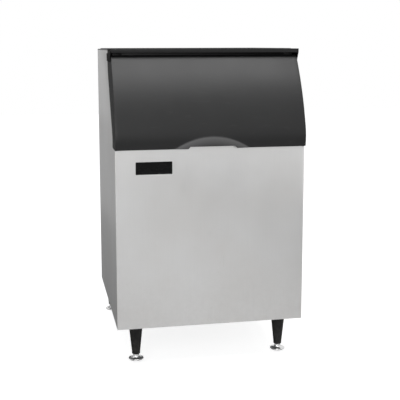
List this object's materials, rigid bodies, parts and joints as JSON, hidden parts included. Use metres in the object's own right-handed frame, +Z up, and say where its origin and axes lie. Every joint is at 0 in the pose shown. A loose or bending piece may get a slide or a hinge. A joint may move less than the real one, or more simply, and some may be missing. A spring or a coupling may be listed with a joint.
{
  "type": "ice storage bin",
  "caption": "Insulated stainless ice storage bin with a sloping lift-up door, blank nameplate, open top for an ice machine and tapered levelling legs.",
  "frame": {"origin": "centre of the bounding box in plan, on the floor under the feet", "axes": "+Z up, the door faces -Y, +X to the right of someone who stands before the door"},
  "size_m": [0.774, 0.7954, 1.2677],
  "materials": {
    "stainless": "stainless sheet with a fine grain",
    "galvanised": "zinc-coated sheet, dull spangle",
    "door_plastic": "charcoal moulding with a light texture",
    "frame_plastic": "black moulding, fine texture",
    "liner_plastic": "white moulded liner, semi-gloss",
    "foam": "foamed-in-place insulation, buff",
    "seal_rubber": "soft black seal",
    "leg_plastic": "black moulded plastic",
    "polished_steel": "bright steel",
    "nameplate_film": "black film, blank"
  },
  "bodies": {
    "cabinet": {"back_panel": "galvanised", "back_screw_lower_left": "polished_steel", "back_screw_lower_right": "polished_steel", "back_screw_upper_left": "polished_steel", "back_screw_upper_right": "polished_steel", "baffle_knob_left": "leg_plastic", "baffle_knob_right": "leg_plastic", "base_pan": "galvanised", "bracket_screw_left_lower": "polished_steel", "bracket_screw_left_upper": "polished_steel", "bracket_screw_right_lower": "polished_steel", "bracket_screw_right_upper": "polished_steel", "door_bumper_left": "seal_rubber", "door_bumper_right": "seal_rubber", "drain_fitting": "leg_plastic", "drain_nut": "leg_plastic", "drain_strainer": "polished_steel", "front_panel": "stainless", "header": "frame_plastic", "hinge_bracket_left": "galvanised", "hinge_bracket_right": "galvanised", "hinge_pin_left": "polished_steel", "hinge_pin_right": "polished_steel", "ice_baffle": "liner_plastic", "ice_liner": "liner_plastic", "insulation": "foam", "jamb_left": "frame_plastic", "jamb_right": "frame_plastic", "leg_front_left": "leg_plastic", "leg_front_right": "leg_plastic", "leg_plate_front_left": "galvanised", "leg_plate_front_right": "galvanised", "leg_plate_rear_left": "galvanised", "leg_plate_rear_right": "galvanised", "leg_rear_left": "leg_plastic", "leg_rear_right": "leg_plastic", "nameplate": "nameplate_film", "rim_back": "frame_plastic", "rim_front": "frame_plastic", "rim_left": "frame_plastic", "rim_right": "frame_plastic", "side_panel_left": "stainless", "side_panel_right": "stainless", "sill": "frame_plastic", "top_seal": "seal_rubber", "top_trim": "frame_plastic", "trim_cap_left": "frame_plastic", "trim_cap_right": "frame_plastic"},
    "door": {"door_shell": "door_plastic", "door_foam": "foam", "door_inner_panel": "liner_plastic", "door_seal": "seal_rubber", "hinge_bushing_left": "leg_plastic", "hinge_bushing_right": "leg_plastic"},
    "foot_front_left": {"foot_front_left": "polished_steel"},
    "foot_front_right": {"foot_front_right": "polished_steel"},
    "foot_rear_left": {"foot_rear_left": "polished_steel"},
    "foot_rear_right": {"foot_rear_right": "polished_steel"}
  },
  "joints": [
    {"name": "door_hinge", "type": "hinge", "parent": "cabinet", "child": "door", "pos_m": [0, -0.2426, 1.2273], "axis": [-1, 0, 0], "range_deg": [0, 72]},
    {"name": "foot_front_left_screw", "type": "slide", "parent": "cabinet", "child": "foot_front_left", "axis": [0, 0, -1], "range_m": [0, 0.025]},
    {"name": "foot_front_right_screw", "type": "slide", "parent": "cabinet", "child": "foot_front_right", "axis": [0, 0, -1], "range_m": [0, 0.025]},
    {"name": "foot_rear_left_screw", "type": "slide", "parent": "cabinet", "child": "foot_rear_left", "axis": [0, 0, -1], "range_m": [0, 0.025]},
    {"name": "foot_rear_right_screw", "type": "slide", "parent": "cabinet", "child": "foot_rear_right", "axis": [0, 0, -1], "range_m": [0, 0.025]}
  ]
}
